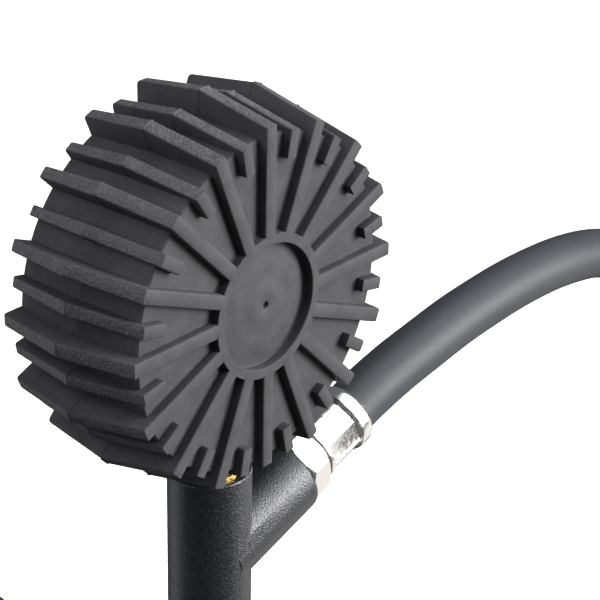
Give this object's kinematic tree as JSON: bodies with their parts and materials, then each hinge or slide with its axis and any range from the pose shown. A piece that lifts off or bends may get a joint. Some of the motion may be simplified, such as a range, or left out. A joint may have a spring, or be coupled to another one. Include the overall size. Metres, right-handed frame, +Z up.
{
  "type": "foot air pump",
  "caption": "Treadle foot pump with an upright barrel, check valve and standpipe; a pressure gauge in a finned rubber boot on top and a hose with a clip-on tyre chuck.",
  "frame": {"origin": "on the floor, under the middle of the base plate", "axes": "+X to the right of the user, -Y towards the user (the dial faces -Y), +Z up"},
  "size_m": [0.3238, 0.3, 0.3425],
  "materials": {
    "black_paint": "fine orange-peel powder coat",
    "boot_rubber": "matte moulded rubber",
    "hose_rubber": "satin extruded rubber",
    "nickel": "bright nickel plate",
    "steel": "zinc plated or turned",
    "brass": "turned",
    "bronze": "sintered or drawn bronze",
    "pad_rubber": "ribbed matte rubber",
    "aluminium": "turned",
    "dial_white": "matt white enamel with printed scale",
    "clear": "clear polycarbonate",
    "red_paint": "satin",
    "spring_steel": "drawn wire",
    "leather": "oiled cup leather",
    "seal_rubber": "smooth"
  },
  "bodies": {
    "pump_frame": {"base_plate": "black_paint", "rubber_foot_1": "pad_rubber", "rubber_foot_2": "pad_rubber", "rubber_foot_3": "pad_rubber", "rubber_foot_4": "pad_rubber", "screw_1": "steel", "screw_2": "steel", "screw_3": "steel", "screw_4": "steel", "screw_5": "steel", "screw_6": "steel", "screw_7": "steel", "hinge_bracket": "black_paint", "barrel_foot": "black_paint", "barrel_tube": "steel", "barrel_cap": "black_paint", "rod_bush": "bronze", "return_spring": "spring_steel", "hinge_pin": "steel", "pipe_socket": "black_paint", "check_spring": "spring_steel", "spring_retainer": "brass", "outlet_tube": "steel", "standpipe": "black_paint", "pipe_stay": "black_paint", "gauge_boot": "boot_rubber", "gauge_case": "steel", "gauge_bezel": "nickel", "gauge_lens": "clear", "gauge_stem": "brass", "bourdon_tube": "bronze", "tip_link": "brass", "movement_frame": "brass", "gauge_dial": "dial_white", "hose_nut": "nickel", "hose_ferrule": "nickel", "hose": "hose_rubber", "chuck_ferrule": "nickel", "chuck_body": "brass", "chuck_seal": "seal_rubber", "chuck_cap": "nickel", "chuck_pin": "steel"},
    "treadle_lever": {"treadle": "black_paint", "treadle_pad": "pad_rubber", "bush_left": "bronze", "bush_right": "bronze"},
    "piston": {"piston_rod": "steel", "piston_plate": "aluminium", "piston_cup": "leather", "piston_nut": "steel", "rod_fork": "steel", "roller_pin": "steel"},
    "track_roller": {"roller": "steel"},
    "needle": {"gauge_needle": "red_paint", "pinion_shaft": "brass"},
    "sector": {"sector_gear": "brass"},
    "valve_ball": {"check_ball": "steel"},
    "thumb_lever": {"chuck_lever": "black_paint"},
    "pusher": {"chuck_pusher": "brass"}
  },
  "joints": [
    {"name": "treadle_swing", "type": "hinge", "parent": "pump_frame", "child": "treadle_lever", "pos_m": [0, 0.088, 0.1586], "axis": [1, 0, 0], "range_deg": [0, 20.61], "stiffness_Nm_per_rad": 14, "springref_deg": -17.19},
    {"name": "piston_slide", "type": "slide", "parent": "pump_frame", "child": "piston", "axis": [0, 0, 1], "range_m": [-0.0402, 0], "deforming": ["return_spring"]},
    {"name": "roller_spin", "type": "hinge", "parent": "piston", "child": "track_roller", "pos_m": [0, -0.022, 0.1786], "axis": [1, 0, 0], "continuous": true},
    {"name": "needle_turn", "type": "hinge", "parent": "pump_frame", "child": "needle", "pos_m": [0, 0.12, 0.304], "axis": [0, 1, 0], "range_deg": [0, 270], "stiffness_Nm_per_rad": 0.004, "springref_deg": -11.46},
    {"name": "sector_swing", "type": "hinge", "parent": "pump_frame", "child": "sector", "pos_m": [0, 0.12, 0.293], "axis": [0, 1, 0], "range_deg": [-51.1, 0]},
    {"name": "check_lift", "type": "slide", "parent": "pump_frame", "child": "valve_ball", "axis": [0, 0, 1], "range_m": [0, 0.002], "stiffness_N_per_m": 100, "springref_m": -0.001, "deforming": ["check_spring"]},
    {"name": "lever_flip", "type": "hinge", "parent": "pump_frame", "child": "thumb_lever", "pos_m": [-0.238, -0.058, 0.0108], "axis": [1, 0, 0], "range_deg": [0, 90]},
    {"name": "pusher_slide", "type": "slide", "parent": "pump_frame", "child": "pusher", "axis": [0, -1, 0], "range_m": [0, 0.001]}
  ],
  "couplings": [
    {"joint": "piston_slide", "follows": "treadle_swing", "m_per_rad": -0.1112},
    {"joint": "sector_swing", "follows": "needle_turn", "ratio": -0.18889},
    {"joint": "pusher_slide", "follows": "lever_flip", "m_per_rad": 0.000636}
  ]
}
